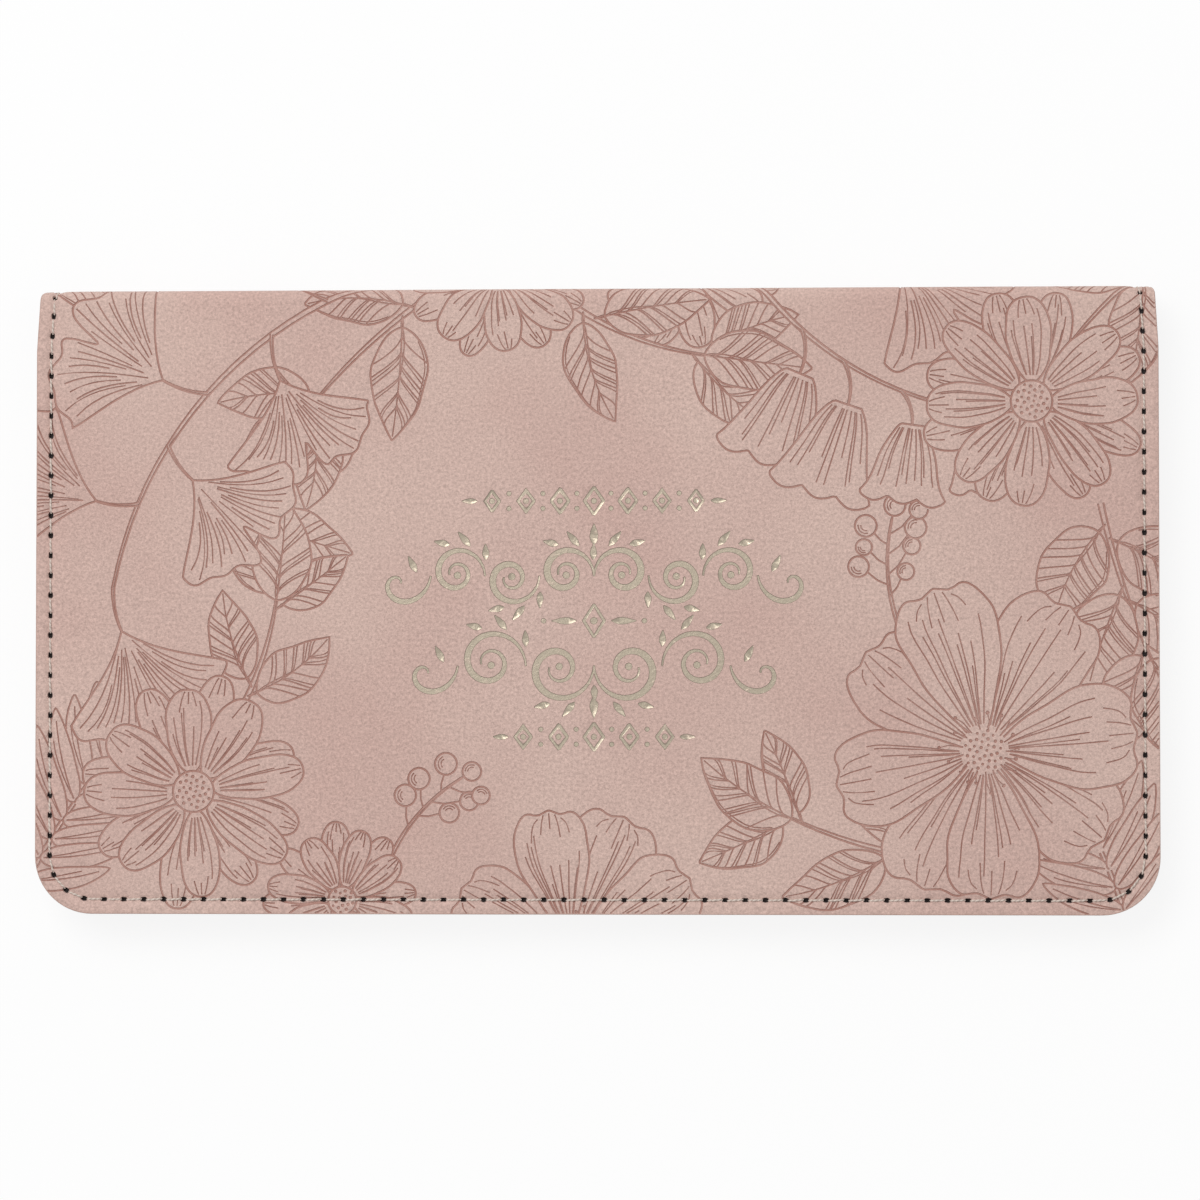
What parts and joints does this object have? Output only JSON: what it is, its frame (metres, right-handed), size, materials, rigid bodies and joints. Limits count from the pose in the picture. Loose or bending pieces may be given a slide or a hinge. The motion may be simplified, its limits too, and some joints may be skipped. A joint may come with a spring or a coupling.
{
  "type": "checkbook cover",
  "caption": "Long slim folding cover in pressed faux leather with a sewn rim, two inner pockets that open to the fold, and a clear divider sheet between them.",
  "frame": {"origin": "under the middle of the closed cover, on its back face", "axes": "+X along the fold, +Y towards the fold, +Z towards the front cover"},
  "size_m": [0.165, 0.092, 0.008],
  "materials": {
    "outer_leather": "dusty pink faux leather with a fine nubuck grain and pressed line ornament",
    "stiffener_board": "grey bookbinder's board with a raw cut edge",
    "inner_lining": "fine twill lining in a greyed rose",
    "pocket_leather": "smooth faux leather of the outer colour",
    "sewing_thread": "bonded polyester thread in pale pink grey",
    "clear_vinyl": "clear flexible vinyl"
  },
  "bodies": {
    "back_cover": {"back_skin": "outer_leather", "back_board": "stiffener_board", "back_lining": "inner_lining", "back_pocket": "pocket_leather", "back_seam_thread": "sewing_thread", "back_hem_thread": "sewing_thread"},
    "spine": {"spine_skin": "outer_leather", "spine_lining": "inner_lining", "spine_seam_thread": "sewing_thread", "divider_flange": "clear_vinyl", "divider_thread": "sewing_thread"},
    "front_cover": {"front_skin": "outer_leather", "front_board": "stiffener_board", "front_lining": "inner_lining", "front_pocket": "pocket_leather", "front_seam_thread": "sewing_thread", "front_hem_thread": "sewing_thread"},
    "divider": {"clear_divider": "clear_vinyl"}
  },
  "joints": [
    {"name": "spine_fold", "type": "hinge", "parent": "back_cover", "child": "spine", "pos_m": [0, 0.046, 0], "axis": [-1, 0, 0], "range_deg": [0, 90]},
    {"name": "cover_open", "type": "hinge", "parent": "spine", "child": "front_cover", "pos_m": [0, 0.046, 0.008], "axis": [-1, 0, 0], "range_deg": [0, 90]},
    {"name": "divider_turn", "type": "hinge", "parent": "spine", "child": "divider", "pos_m": [0, 0.044, 0.004], "axis": [-1, 0, 0], "range_deg": [0, 80]}
  ],
  "couplings": [
    {"joint": "cover_open", "follows": "spine_fold", "ratio": 1},
    {"joint": "divider_turn", "follows": "spine_fold", "ratio": 0.8888}
  ]
}
